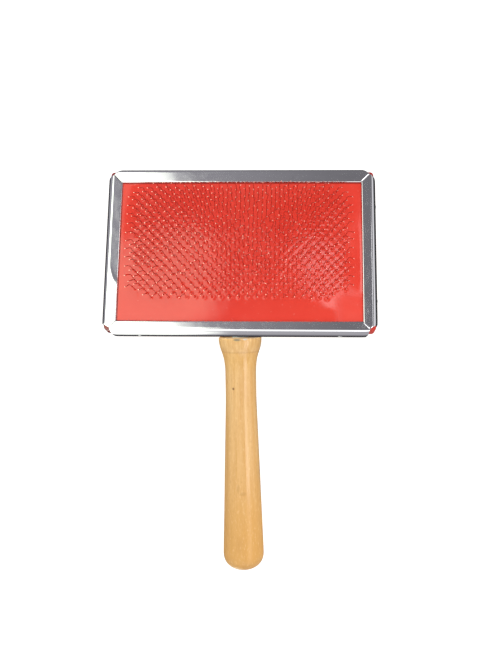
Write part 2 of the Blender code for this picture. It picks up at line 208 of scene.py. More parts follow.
# ---------------------------------------------------------------- materials
def rubber():
    """Red rubber face of the card: soft sheen, faint mottling, pale pink specks, drag marks, and painted shade
    along the window's edges.
    """
    mat, n, sh = material("red_rubber_face")
    at = n.add("ShaderNodeTexCoord").outputs["Object"]
    broad = n.noise(at, 38.0, 3.0, 0.55)
    fine = n.noise(at, 1500.0, 3.0, 0.6)
    cloudy = n.noise(n.scaled(at, (90, 150, 90)), 1.0, 4.0, 0.6, 0.4)
    colour = n.mix(n.step(broad, 0.34, 0.68), (0.760, 0.042, 0.024), (0.815, 0.058, 0.035))
    colour = n.mix(n.step(cloudy, 0.52, 0.82, 0.0, 0.22), colour, (0.840, 0.105, 0.070))
    speck = n.noise(at, 620.0, 1.0, 0.5)
    colour = n.mix(n.step(speck, 0.70, 0.80, 0.0, 0.35), colour, (0.86, 0.20, 0.16))
    # painted shade tucked in along the window's edges, darkest under the far and left strips
    sep = n.add("ShaderNodeSeparateXYZ")
    n.put(sep.inputs[0], at)
    far_line = n.step(sep.outputs[1], (WIN_FAR - 1.0) * MM, (WIN_FAR - 0.25) * MM)
    near_line = n.step(sep.outputs[1], (WIN_NEAR + 0.45) * MM, (WIN_NEAR + 0.05) * MM)
    left_line = n.step(sep.outputs[0], (-WIN_X + 0.60) * MM, (-WIN_X + 0.15) * MM)
    right_line = n.step(sep.outputs[0], (WIN_X - 0.40) * MM, (WIN_X - 0.05) * MM)
    edge_shade = n.math("MAXIMUM", n.math("MULTIPLY", far_line, 0.72), n.math("MULTIPLY", left_line, 0.85))
    edge_shade = n.math("MAXIMUM", edge_shade, n.math("MULTIPLY", near_line, 0.35))
    edge_shade = n.math("MAXIMUM", edge_shade, n.math("MULTIPLY", right_line, 0.35))
    colour = n.mix(edge_shade, colour, (0.21, 0.012, 0.010))
    n.put(sh.inputs["Base Color"], colour)
    # the near right corner has been rubbed dull, and the far left edge has lost its shine
    worn = n.math("MULTIPLY", n.step(sep.outputs[0], -0.0430, -0.0500), n.step(sep.outputs[1], -0.002, 0.012))
    dull = n.math("MULTIPLY", n.step(sep.outputs[0], 0.0390, 0.0475), n.step(sep.outputs[1], -0.0175, -0.0250))
    gloss = n.math("ADD", n.step(cloudy, 0.3, 0.8, 0.045, 0.085), n.math("MULTIPLY", dull, 0.50))
    n.put(sh.inputs["Roughness"], gloss)
    n.put(sh.inputs["Specular IOR Level"], n.step(n.math("MAXIMUM", dull, worn), 0.0, 1.0, 0.5, 0.24))
    grain = n.math("ADD", n.math("MULTIPLY", fine, 0.5), n.math("MULTIPLY", cloudy, 0.8))
    n.put(sh.inputs["Normal"], n.bump(grain, 0.16, 0.00003))
    return mat


def plated(name="plated_strip", rough=0.055, tint=(0.80, 0.80, 0.82)):
    """Bright plated strip: rolling lines along its length, fine handling scratches, dull specks."""
    mat, n, sh = material(name)
    uv = n.add("ShaderNodeUVMap", uv_map="along").outputs[0]
    rolled = n.noise(n.scaled(uv, (2.5, 220.0, 1.0)), 1.0, 4.0, 0.65)
    hair = n.noise(n.scaled(uv, (14.0, 900.0, 1.0)), 1.0, 2.0, 0.5)
    blotch = n.noise(n.scaled(uv, (20.0, 30.0, 1.0)), 1.0, 3.0, 0.6)
    pits = n.noise(n.scaled(uv, (260.0, 260.0, 1.0)), 1.0, 1.0, 0.5)
    speck = n.step(pits, 0.76, 0.84)
    shade = n.mix(n.step(rolled, 0.3, 0.75), tuple(0.93 * t for t in tint), tint)
    shade = n.mix(n.math("MULTIPLY", speck, 0.5), shade, (0.35, 0.34, 0.36))
    n.put(sh.inputs["Base Color"], shade)
    sh.inputs["Metallic"].default_value = 1.0
    r = n.math("ADD", n.step(blotch, 0.35, 0.75, rough, rough + 0.05), n.math("MULTIPLY", speck, 0.25))
    r = n.math("ADD", r, n.step(hair, 0.62, 0.8, 0.0, 0.07))
    n.put(sh.inputs["Roughness"], r)
    height = n.math("ADD", n.math("MULTIPLY", rolled, 1.0), n.math("MULTIPLY", hair, 0.35))
    height = n.math("SUBTRACT", height, n.math("MULTIPLY", speck, 1.4))
    n.put(sh.inputs["Normal"], n.bump(height, 0.055, 0.00002))
    return mat


def steel(name, colour, rough, scale=900.0, dull=0.4, metallic=1.0):
    """Plain drawn or zinc-plated steel with slight dulling."""
    mat, n, sh = material(name)
    at = n.add("ShaderNodeTexCoord").outputs["Object"]
    cloud = n.noise(at, scale, 3.0, 0.6)
    fine = n.noise(at, scale * 6, 2.0, 0.5)
    n.put(
        sh.inputs["Base Color"],
        n.mix(n.step(cloud, 0.35, 0.75, 0.0, dull), colour, tuple(0.55 * c for c in colour)),
    )
    sh.inputs["Metallic"].default_value = metallic
    n.put(sh.inputs["Roughness"], n.step(cloud, 0.3, 0.8, rough, rough + 0.14))
    n.put(sh.inputs["Normal"], n.bump(fine, 0.2, 0.00002))
    return mat


def foam():
    """Pale felt and foam pad: open, matt, faintly speckled."""
    mat, n, sh = material("pad_foam")
    at = n.add("ShaderNodeTexCoord").outputs["Object"]
    cell = n.add("ShaderNodeTexVoronoi")
    n.put(cell.inputs["Vector"], at)
    cell.inputs["Scale"].default_value = 1400.0
    cloud = n.noise(at, 300.0, 3.0, 0.6)
    n.put(sh.inputs["Base Color"], n.mix(n.step(cloud, 0.3, 0.7), (0.66, 0.60, 0.50), (0.80, 0.75, 0.66)))
    sh.inputs["Roughness"].default_value = 0.95
    n.put(sh.inputs["Normal"], n.bump(cell.outputs["Distance"], 0.6, 0.0003))
    return mat


def wood(name, light, mid, dark, ring_at, coat, spots=(), ring_mm=1.5, long_axis="Y", late_mix=0.42,
         turned=False):
    """Lacquered pale wood, grain along long_axis. spots are (centre mm, radii mm, depth, colour)."""
    mat, n, sh = material(name)
    if turned:
        at = n.add("ShaderNodeAttribute", attribute_type="GEOMETRY", attribute_name="own_axes").outputs["Vector"]
    else:
        at = n.add("ShaderNodeTexCoord").outputs["Object"]
    if long_axis == "X":
        turn = n.add("ShaderNodeMapping")
        n.put(turn.inputs["Vector"], at)
        turn.inputs["Rotation"].default_value = (0, 0, pi / 2)
        at = turn.outputs[0]
    # growth rings: distance from a far pith line, wandering slowly along the grain
    warp = n.noise(n.scaled(at, (60, 16, 60)), 1.0, 2.0, 0.5)
    sep = n.add("ShaderNodeSeparateXYZ")
    n.put(sep.inputs[0], at)
    dx = n.math("SUBTRACT", sep.outputs[0], ring_at[0] * MM)
    dz = n.math("SUBTRACT", sep.outputs[2], ring_at[1] * MM)
    dist = n.math("SQRT", n.math("ADD", n.math("MULTIPLY", dx, dx), n.math("MULTIPLY", dz, dz)))
    dist = n.math("ADD", dist, n.math("MULTIPLY", warp, 4.5 * MM))
    ring = n.math("FRACT", n.math("DIVIDE", dist, ring_mm * MM))
    late = n.step(ring, 0.35, 0.97)
    late = n.math("MULTIPLY", late, n.step(ring, 1.0, 0.96))
    streak = n.noise(n.scaled(at, (750, 18, 750)), 1.0, 3.0, 0.6)
    fibre = n.noise(n.scaled(at, (3800, 120, 3800)), 1.0, 2.0, 0.55)
    patch = n.noise(n.scaled(at, (55, 22, 55)), 1.0, 2.0, 0.5)
    colour = n.mix(n.step(streak, 0.30, 0.72), light, mid)
    colour = n.mix(n.math("MULTIPLY", late, late_mix), colour, dark)
    colour = n.mix(n.step(fibre, 0.55, 0.80, 0.0, 0.22), colour, dark)
    colour = n.mix(n.step(patch, 0.50, 0.80, 0.0, 0.40), colour, mid)
    pore = n.noise(n.scaled(at, (5200, 520, 5200), (3.1, 0.7, 1.9)), 1.0, 1.0, 0.5)
    pores = n.step(pore, 0.74, 0.82)
    colour = n.mix(n.math("MULTIPLY", pores, 0.45), colour, tuple(0.62 * c for c in dark))
    if turned:  # deeper toward the butt, yellower below the crease, and a thin painted shadow darkening the crease itself
        y = sep.outputs[1]
        colour = n.mix(n.step(y, -0.030, -0.100, 0.0, 0.85), colour, n.mix(0.5, mid, (0.70, 0.34, 0.07)))
        neck = n.math("MULTIPLY", n.step(y, -0.0056, -0.0068), n.step(y, -0.018, -0.0085))
        colour = n.mix(n.math("MULTIPLY", neck, 0.45), colour, (0.80, 0.44, 0.11))
        # painted shade: a thin darker band across the crease between collar and neck
        line = n.math("MULTIPLY", n.step(y, -0.0056, -0.0061), n.step(y, -0.0067, -0.0062))
        colour = n.mix(n.math("MULTIPLY", line, 0.40), colour, dark)
        fleck = n.noise(n.scaled(at, (1500, 420, 1500), (5.0, 2.0, 1.0)), 1.0, 3.0, 0.7)
        colour = n.mix(n.step(fleck, 0.54, 0.72, 0.0, 0.42), colour, dark)
        colour = n.mix(n.step(fleck, 0.46, 0.28, 0.0, 0.45), colour, (0.92, 0.64, 0.32))
    for centre, radii, depth, tint in spots:
        off = n.vec("SUBTRACT", at, tuple(c * MM for c in centre))
        off = n.vec("MULTIPLY", off, tuple(1 / (r * MM) for r in radii))
        wob = n.noise(n.scaled(at, (400, 250, 400)), 1.0, 2.0, 0.5)
        far = n.math("ADD", n.vec("LENGTH", off), n.math("MULTIPLY", wob, 0.5))
        colour = n.mix(n.step(far, 1.25, 0.55, 0.0, depth), colour, tint)
    n.put(sh.inputs["Base Color"], colour)
    n.put(sh.inputs["Roughness"], n.step(streak, 0.3, 0.7, 0.38, 0.50))
    sh.inputs["Coat Weight"].default_value = coat
    if turned:  # the lacquer is worn thin on the left and where the palm rests
        thin = n.step(sep.outputs[0], -0.0015, 0.0015, 0.25, 1.0)
        palm = n.step(sep.outputs[1], -0.080, -0.060, 0.30 * coat, coat)
        n.put(sh.inputs["Coat Weight"], n.math("MULTIPLY", thin, palm))
    sh.inputs["Coat Roughness"].default_value = 0.10
    sh.inputs["Specular IOR Level"].default_value = 0.12 if turned else 0.25
    ripple = n.noise(n.scaled(at, (120, 260, 120)), 1.0, 2.0, 0.5)
    height = n.math("ADD", n.math("MULTIPLY", fibre, 0.35), n.math("MULTIPLY", ripple, 1.6))
    height = n.math("SUBTRACT", height, n.math("MULTIPLY", pores, 0.5))
    bump = n.bump(height, 0.22, 0.00006)
    n.put(sh.inputs["Normal"], bump)
    n.put(sh.inputs["Coat Normal"], n.bump(ripple, 0.12, 0.00008))
    return mat


RUBBER = rubber()
PLATED = plated()
# the pin steel's red tint is a painted reflection of the red card, not the wire's own colour
WIRE = steel("pin_steel_red_reflection_tint", (0.68, 0.19, 0.14), 0.22, 1200.0, metallic=0.85)
# pale pink tips: a painted glint, not the steel's own colour
PIN_TIP_GLINT = steel("pin_tip_painted_glint", (0.98, 0.58, 0.50), 0.45, 1200.0, 0.1)
TACK = steel("tack_steel", (0.40, 0.40, 0.42), 0.40)
ZINC = steel("tang_zinc", (0.50, 0.53, 0.54), 0.34, 500.0)
SCREW = steel("screw_steel", (0.58, 0.57, 0.54), 0.28)
FOAM = foam()
WOOD_HANDLE = wood(
    "handle_wood_lacquer",
    (0.850, 0.530, 0.220),
    (0.750, 0.415, 0.138),
    (0.620, 0.310, 0.095),
    (-3.0, -34.0),
    0.95,
    late_mix=0.16,
    turned=True,
    spots=(
        ((-3.1, -22.3, 6.3), (0.62, 0.72, 1.6), 0.86, (0.20, 0.08, 0.025)),
        ((-1.6, -66.8, 7.4), (0.95, 2.9, 3.0), 0.34, (0.52, 0.25, 0.07)),
        ((0.5, -69.0, 7.4), (2.0, 1.3, 3.0), 0.32, (0.52, 0.25, 0.07)),
        # painted shadow: a dark green-grey spot where the tang's slot opens in the collar's end
        ((-0.9, -0.35, 9.0), (2.3, 0.75, 2.4), 0.80, (0.10, 0.14, 0.12)),
        # painted highlight: a pale blue-grey spot standing in for the lit top of the tang
        ((2.6, -0.20, 9.0), (1.4, 0.50, 2.4), 0.60, (0.50, 0.62, 0.66)),
        ((0.4, -101.5, 6.0), (1.6, 2.2, 3.0), 0.42, (0.52, 0.20, 0.06)),
        ((-1.5, -92.0, 9.0), (2.4, 5.5, 3.0), 0.26, (0.60, 0.30, 0.09)),
    ),
)
WOOD_BOARD = wood(
    "board_wood_lacquer",
    (0.840, 0.560, 0.280),
    (0.740, 0.450, 0.200),
    (0.560, 0.300, 0.115),
    (10.0, -60.0),
    0.5,
    ring_mm=2.6,
    long_axis="X",
)


# ---------------------------------------------------------------- mesh helpers
def obj_from(name, verts, faces, matrix, mat, nodes, sharp=35, uv=None):
    mesh = bpy.data.meshes.new(name)
    mesh.from_pydata([tuple(v) for v in verts], [], faces)
    mesh.validate()
    obj = finish_obj(name, mesh, matrix, mat, nodes, sharp)
    if uv is not None:
        layer = mesh.uv_layers.new(name="along")
        for loop in mesh.loops:
            layer.data[loop.index].uv = uv[loop.vertex_index]
    return obj


def finish_obj(name, mesh, matrix, mat, nodes, sharp=35):
    mesh.materials.append(mat)
    obj = bpy.data.objects.new(name, mesh)
    scene.collection.objects.link(obj)
    obj.matrix_world = matrix
    mesh.shade_smooth()
    mesh.set_sharp_from_angle(angle=radians(sharp))
    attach(obj, "root")
    if nodes:
        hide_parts(*nodes)
    return obj


def mesh_from(bm, name):
    bmesh.ops.recalc_face_normals(bm, faces=bm.faces)
    mesh = bpy.data.meshes.new(name)
    bm.to_mesh(mesh)
    bm.free()
    return mesh


def lay_out(obj):
    """Write obj's mesh out in the row frame, so that its box is no bigger than the piece."""
    bpy.context.view_layer.update()
    obj.data.transform(obj.matrix_world)
    obj.matrix_world = Matrix.Identity(4)


def applied(obj):
    """Bake obj's modifiers into its mesh."""
    bpy.context.view_layer.update()
    dg = bpy.context.evaluated_depsgraph_get()
    baked = bpy.data.meshes.new_from_object(obj.evaluated_get(dg), depsgraph=dg)
    obj.modifiers.clear()
    old = obj.data
    obj.data = baked
    baked.name = old.name
    bpy.data.meshes.remove(old)
    return obj


def lathe(profile, sides):
    """Vertices and faces of a turned body; profile is (radius, height) from axis to axis, about +Z."""
    verts, rings = [], []
    for r, h in profile:
        if r < 1e-6:
            rings.append([len(verts)])
            verts.append((0, 0, h * MM))
        else:
            rings.append(list(range(len(verts), len(verts) + sides)))
            for k in range(sides):
                a = 2 * pi * k / sides
                verts.append((r * cos(a) * MM, r * sin(a) * MM, h * MM))
    faces = []
    for a, b in zip(rings, rings[1:]):
        for k in range(sides):
            j = (k + 1) % sides
            if len(a) == 1:
                faces.append((a[0], b[k], b[j]))
            elif len(b) == 1:
                faces.append((a[k], b[0], a[j]))
            else:
                faces.append((a[k], b[k], b[j], a[j]))
    return verts, faces


def boolean_cut(obj, cutter_mesh):
    cutter = bpy.data.objects.new("cutter", cutter_mesh)
    scene.collection.objects.link(cutter)
    cutter.matrix_world = obj.matrix_world
    mod = obj.modifiers.new("cut", "BOOLEAN")
    mod.operation = "DIFFERENCE"
    mod.solver = "EXACT"
    mod.object = cutter
    applied(obj)
    bpy.data.objects.remove(cutter, do_unlink=True)
    bpy.data.meshes.remove(cutter_mesh)
    return obj


def box_mesh(lo, hi):
    bm = bmesh.new()
    bmesh.ops.create_cube(bm, size=1.0)
    for v in bm.verts:
        v.co = Vector([(lo[i] + hi[i]) / 2 + v.co[i] * (hi[i] - lo[i]) for i in range(3)]) * MM
    return mesh_from(bm, "cutter")


def smooth01(x):
    x = min(1.0, max(0.0, x))
    return x * x * (3 - 2 * x)


# ---------------------------------------------------------------- the domed face
def dome(x, y):
    u, v = abs(x) / (WIN_X - 0.4), abs(y - WIN_Y0) / (WIN_HY - 0.4)
    if u >= 1 or v >= 1:
        return CLOTH_TOP
    return CLOTH_TOP + DOME * (1 - u**DOME_P) * (1 - v**DOME_P)


def row_y(row):
    return ROW_Y0 + row * ROW_PITCH


def row_xs(row):
    count = 25 - row % 2
    short = {0: 2, 1: 1, ROWS - 2: 1, ROWS - 1: 2}.get(row, 0)
    xs = [(i - (count - 1) / 2) * PIN_PITCH for i in range(count)]
    return xs[short : len(xs) - short] if short else xs


rng = random.Random(41)
PINS = []  # per row: (x, y) of each pin's foot, with the small errors of a hand-fed card
for row in range(ROWS):
    drift = rng.uniform(-0.10, 0.10)
    PINS.append(
        [
            (x * FOOT_IN + drift + rng.uniform(-0.09, 0.09), row_y(row) + rng.uniform(-0.10, 0.10))
            for x in row_xs(row)
        ]
    )


def rubber_face(x, y):
    """Height of the card's outer face, without the puckers round the pins."""
    z = dome(x, y)
    lift = (z - CLOTH_TOP) / DOME
    slow = noise.noise(Vector((x / 13.0, y / 11.0, 3.7)))
    quick = noise.noise(Vector((x / 4.2, y / 4.2, 9.1)))
    return z + lift**0.5 * (0.085 * slow + 0.020 * quick)


def build_cloth():
    """The rubber-faced card: one stretched sheet, domed in the window, its edge turned down
    between the board and the strips, puckered where each wire comes through."""
    r_edge, r_corner = 1.4, 1.7

    def stations(half, lo, hi, fine):
        inner = half - r_corner
        out = list(np.linspace(-half, -inner, 7))
        out += list(np.linspace(-inner, lo, max(2, int((lo + inner) / 0.9) + 1)))[1:]
        out += list(np.linspace(lo, hi, int((hi - lo) / fine) + 1))[1:]
        out += list(np.linspace(hi, inner, max(2, int((inner - hi) / 0.9) + 1)))[1:]
        out += list(np.linspace(inner, half, 7))[1:]
        return out

    xs = stations(CLOTH_X, -50.5, 50.5, 0.36)
    ys = stations(CLOTH_Y, -24.5, 29.5, 0.36)
    nx, ny = len(xs), len(ys)
    pucker = np.zeros((nx, ny))
    ax, ay = np.array(xs), np.array(ys)
    for pins in PINS:
        for px, py in pins:
            i0, i1 = np.searchsorted(ax, (px - 1.7, px + 1.7))
            j0, j1 = np.searchsorted(ay, (py - 1.7, py + 1.7))
            d = np.hypot(ax[i0:i1, None] - px, ay[None, j0:j1] - py - 0.05)
            side = (ay[None, j0:j1] - py) / np.maximum(d, 0.3)
            pucker[i0:i1, j0:j1] += (
                -0.16 * np.exp(-((d / 0.40) ** 2))
                + (0.090 - 0.030 * side) * np.exp(-(((d - 0.70) / 0.34) ** 2))
            )
    verts, index = [], {}
    cx, cy = CLOTH_X - r_corner, CLOTH_Y - r_corner
    for i, x in enumerate(xs):
        for j, y in enumerate(ys):
            qx, qy = abs(x) - cx, abs(y) - cy
            if qx > 0 and qy > 0:  # round the corner
                u, v = qx / r_corner, qy / r_corner
                px, py = u * sqrt(1 - v * v / 2) * r_corner, v * sqrt(1 - u * u / 2) * r_corner
                inside = r_corner - hypot(px, py)
                x2, y2 = (cx + px) * (1 if x > 0 else -1), (cy + py) * (1 if y > 0 else -1)
            else:
                inside = min(CLOTH_X - abs(x), CLOTH_Y - abs(y))
                x2, y2 = x, y
            z = rubber_face(x2, y2) + pucker[i, j]
            if inside < r_edge:
                z = CLOTH_TOP - r_edge + sqrt(max(0.0, r_edge**2 - (r_edge - max(0, inside)) ** 2))
            index[i, j] = len(verts)
            verts.append((x2 * MM, y2 * MM, z * MM))
    faces = [
        (index[i, j], index[i + 1, j], index[i + 1, j + 1], index[i, j + 1])
        for i in range(nx - 1)
        for j in range(ny - 1)
    ]
    rim = (
        [index[i, 0] for i in range(nx)]
        + [index[nx - 1, j] for j in range(1, ny)]
        + [index[i, ny - 1] for i in range(nx - 2, -1, -1)]
        + [index[0, j] for j in range(ny - 2, 0, -1)]
    )
    last = rim
    for k, z in enumerate((9.6, 8.6, 7.4, 6.2, 5.0), 1):
        ring = []
        for m, v in enumerate(rim):
            x, y, _ = verts[v]
            wave = 0.035 * noise.noise(Vector((x * 260, y * 260, k * 0.6))) * k / 5
            pull = 1 - wave / 60 - 0.0004 * k
            ring.append(len(verts))
            verts.append((x * pull, y * pull, z * MM))
        for m in range(len(rim)):
            q = (m + 1) % len(rim)
            faces.append((last[m], ring[m], ring[q], last[q]))
        last = ring
    obj = obj_from(
        "rubber_card", verts, faces, HEAD, RUBBER, ["card_cloth"], sharp=60
    )
    thick = obj.modifiers.new("thickness", "SOLIDIFY")
    thick.thickness = CLOTH_T * MM
    thick.offset = -1.0
    return obj


def build_pad():
    """The foam pad under the card, crowned on top, its rim rounded and pressed on the board."""
    nx, ny = 64, 42
    r = 1.8
    half_x, half_y = BOARD_X - 0.1, BOARD_Y - 0.1
    verts, index = [], {}
    low = BOARD_T + 0.32
    cx, cy = half_x - 3.0, half_y - 3.0
    for side in (0, 1):
        for i in range(nx + 1):
            for j in range(ny + 1):
                a = sin((i / nx - 0.5) * pi)
                b = sin((j / ny - 0.5) * pi)
                x, y = a * half_x, b * half_y
                qx, qy = abs(x) - cx, abs(y) - cy
                if qx > 0 and qy > 0:
                    u, v = qx / 3.0, qy / 3.0
                    px, py = u * sqrt(1 - v * v / 2) * 3.0, v * sqrt(1 - u * u / 2) * 3.0
                    inside = 3.0 - hypot(px, py)
                    x, y = (cx + px) * (1 if x > 0 else -1), (cy + py) * (1 if y > 0 else -1)
                else:
                    inside = min(half_x - abs(x), half_y - abs(y))
                top = dome(x, y) - 0.92 - 0.62
                top += 0.05 * noise.noise(Vector((x / 3.0, y / 3.0, 1.0)))
                round_down = 0.0
                if inside < r:
                    round_down = r - sqrt(max(0.0, r * r - (r - inside) ** 2))
                z = top - round_down * 0.55 if side == 0 else low + 0.25 * round_down
                if side == 1 and inside < 1e-6:
                    index[side, i, j] = index[0, i, j]
                    continue
                if side == 0 and inside < 1e-6:
                    z = (top + low) / 2
                index[side, i, j] = len(verts)
                verts.append((x * MM, y * MM, z * MM))
    faces = []
    for side in (0, 1):
        for i in range(nx):
            for j in range(ny):
                q = (
                    index[side, i, j],
                    index[side, i + 1, j],
                    index[side, i + 1, j + 1],
                    index[side, i, j + 1],
                )
                faces.append(q if side == 0 else q[::-1])
    obj = obj_from("foam_pad", verts, faces, HEAD, FOAM, ["cushion_pad"], sharp=80)
    return obj


build_pad()
CARD = build_cloth()


# ---------------------------------------------------------------- pins
def rounded_path(points, radii, segs=3):
    """The polyline points with each inner corner swapped for a short arc."""
    out = [points[0]]
    for k in range(1, len(points) - 1):
        a, p, b = points[k - 1], points[k], points[k + 1]
        u, w = (a - p), (b - p)
        reach = min(radii[k], u.length * 0.45, w.length * 0.45)
        u.normalize()
        w.normalize()
        s, e = p + u * reach, p + w * reach
        for m in range(segs + 1):
            f = m / segs
            out.append(s * (1 - f) ** 2 + p * 2 * f * (1 - f) + e * f * f)
    out.append(points[-1])
    return out


def tube(path, radius, sides, verts, faces, bright):
    """Append a closed round wire along path to verts and faces; bright gets its end faces, which carry the
    painted glint.
    """
    start = len(verts)
    tangents = []
    for k in range(len(path)):
        a, b = path[max(0, k - 1)], path[min(len(path) - 1, k + 1)]
        tangents.append((b - a).normalized())
    normal = tangents[0].orthogonal().normalized()
    for k, p in enumerate(path):
        if k:
            normal = tangents[k - 1].rotation_difference(tangents[k]) @ normal
            normal = (normal - tangents[k] * normal.dot(tangents[k])).normalized()
        side = tangents[k].cross(normal)
        for m in range(sides):
            a = 2 * pi * m / sides
            verts.append(p + (normal * cos(a) + side * sin(a)) * radius)
    for k in range(len(path) - 1):
        for m in range(sides):
            q = (m + 1) % sides
            a, b = start + k * sides, start + (k + 1) * sides
            faces.append((a + m, a + q, b + q, b + m))
    count = len(faces)
    bright += [count, count + 1] + list(range(count - sides, count))
    first = count - (len(path) - 1) * sides
    bright += list(range(first, first + sides))
    faces.append(tuple(start + m for m in range(sides))[::-1])
    end = start + (len(path) - 1) * sides
    faces.append(tuple(end + m for m in range(sides)))


WIRE_R = 0.17


def pin_frame(x, y, turn, lean):
    slope_x = (rubber_face(x + 0.5, y) - rubber_face(x - 0.5, y)) * 0.5
    slope_y = (rubber_face(x, y + 0.5) - rubber_face(x, y - 0.5)) * (0.5 - 0.35 * smooth01((y - 18) / 8))
    up = Vector((-slope_x, -slope_y, 1.0)).normalized()
    back = up.cross(Vector((1, 0, 0))).normalized()
    sway = Matrix.Rotation(turn, 3, up)
    back = sway @ back
    # the crowned pad fans the wires out towards the ends
    fan = radians(11.5) * (abs(x) / 45.0) ** 1.15 * (1 if x > 0 else -1)
    spread = Matrix.Rotation(fan, 3, "Y")
    up, back = spread @ up, spread @ back
    shank = up * cos(radians(SHANK_LEAN) + lean) + back * sin(radians(SHANK_LEAN) + lean)
    tip = up * cos(radians(TIP_LEAN) - lean) - back * sin(radians(TIP_LEAN) - lean)
    return up, shank, tip


def build_pins():
    rnd = random.Random(7)
    for row, pins in enumerate(PINS):
        verts, faces, bright = [], [], []

        def leg(x, y):
            """Points from the crown's corner, up through the card, to the knee and the tip."""
            loose = 1.0 - 0.6 * smooth01((y - 8) / 12)
            mid = exp(-(((x - 6.0) / 24.0) ** 2))  # most handled in the middle
            turn = max(-1.0, min(1.0, rnd.gauss(0, radians(10.0 + 22.0 * mid) * loose)))
            lean = max(-0.14, min(0.14, rnd.gauss(0, radians(2.8 + 1.2 * mid) * loose)))
            turn += radians(13.0) * mid * loose
            up, shank, tip = pin_frame(x, y, turn, lean)
            base = Vector((x, y, rubber_face(x, y) - 0.05))
            knee = base + shank * (SHANK_L + rnd.uniform(-0.18, 0.18))
            end = knee + tip * (TIP_L + rnd.uniform(-0.20, 0.20) - 0.10)
            return [base - up * 1.02, base, knee, end]

        k = 0
        while k < len(pins):
            a = leg(*pins[k])
            if k + 1 < len(pins):
                b = leg(*pins[k + 1])
                points = a[::-1] + b
                radii = [0, 0.75, 0.5, 0.45, 0.45, 0.5, 0.75, 0]
            else:
                points = a[::-1] + [a[0] + Vector((1.6, 0, -0.02))]
                radii = [0, 0.75, 0.5, 0.45, 0]
            path = rounded_path(points, radii)
            path.insert(1, path[0] + (path[1] - path[0]).normalized() * 0.45)
            if k + 1 < len(pins):
                path.insert(-1, path[-1] + (path[-2] - path[-1]).normalized() * 0.45)
            tube([p * MM for p in path], WIRE_R * MM, 6, verts, faces, bright)
            k += 2
        obj = obj_from(
            f"pins_{row + 1:02d}",
            verts,
            faces,
            HEAD,
            WIRE,
            [f"pin_row_{row + 1:02d}"],
            sharp=70,
        )
        obj.data.materials.append(PIN_TIP_GLINT)
        # the faces at each wire's ends take the pale pink tip material: a painted glint
        for f in bright:
            obj.data.polygons[f].material_index = 1


build_pins()


# ---------------------------------------------------------------- frame strips
def lerp_table(table, x):
    if x <= table[0][0]:
        return table[0][1]
    for (a, fa), (b, fb) in zip(table, table[1:]):
        if x <= b:
            return fa + (fb - fa) * (x - a) / (b - a)
    return table[-1][1]


def strip_profile(half, flange_in, bend, wall_deg, crisp):
    """Distance out, height and slope of the strip's outer face: a curled lip at the window, the
    flat flange, a soft bend, then a wall bowed slightly from wall_deg to a little past upright."""
    lip = 0.45
    points = []
    for k in range(0, 7):
        a = radians(78) * (1 - k / 6)
        points.append((flange_in + lip * (1 - sin(a)), HEAD_T - lip * (1 - cos(a)), -a))
    turn = radians(wall_deg)
    past = radians(98)
    # the wall's arc, from the end of the bend down to WALL_LOW
    drop = HEAD_T - WALL_LOW - bend * (1 - cos(turn))
    wall_r = drop / (cos(turn) - cos(past)) if wall_deg < 89.9 else 0.0
    bulge = wall_r * (1.0 - sin(turn)) if wall_r else 0.0
    flat_end = half - bulge - bend * sin(turn)
    start = flange_in + lip
    steps = 12
    for k in range(1, steps + 1):
        points.append((start + (flat_end - start) * k / steps, HEAD_T, 0.0))
    # a crisp strip is folded sharply through its first few degrees and rolls over from there
    first = radians(14.0) if crisp else 0.0
    tight = 0.5
    wide = (bend - tight * sin(first)) / (1 - sin(first)) if crisp else bend
    for a in [first * k / 4 for k in range(1, 5) if crisp]:
        points.append((flat_end + tight * sin(a), HEAD_T - tight * (1 - cos(a)), a))
    d0, z0 = (points[-1][0], points[-1][1]) if crisp else (flat_end, HEAD_T)
    for k in range(1, 11):
        a = first + (turn - first) * k / 10
        points.append((d0 + wide * (sin(a) - sin(first)), z0 - wide * (cos(first) - cos(a)), a))
    d0, z0, _ = points[-1]
    for k in range(1, 13):
        if wall_r:
            a = turn + (past - turn) * k / 12
            points.append((d0 + wall_r * (sin(a) - sin(turn)), z0 - wall_r * (cos(turn) - cos(a)), a))
        else:
            points.append((d0, z0 + (WALL_LOW - z0) * k / 12, pi / 2))
    return points


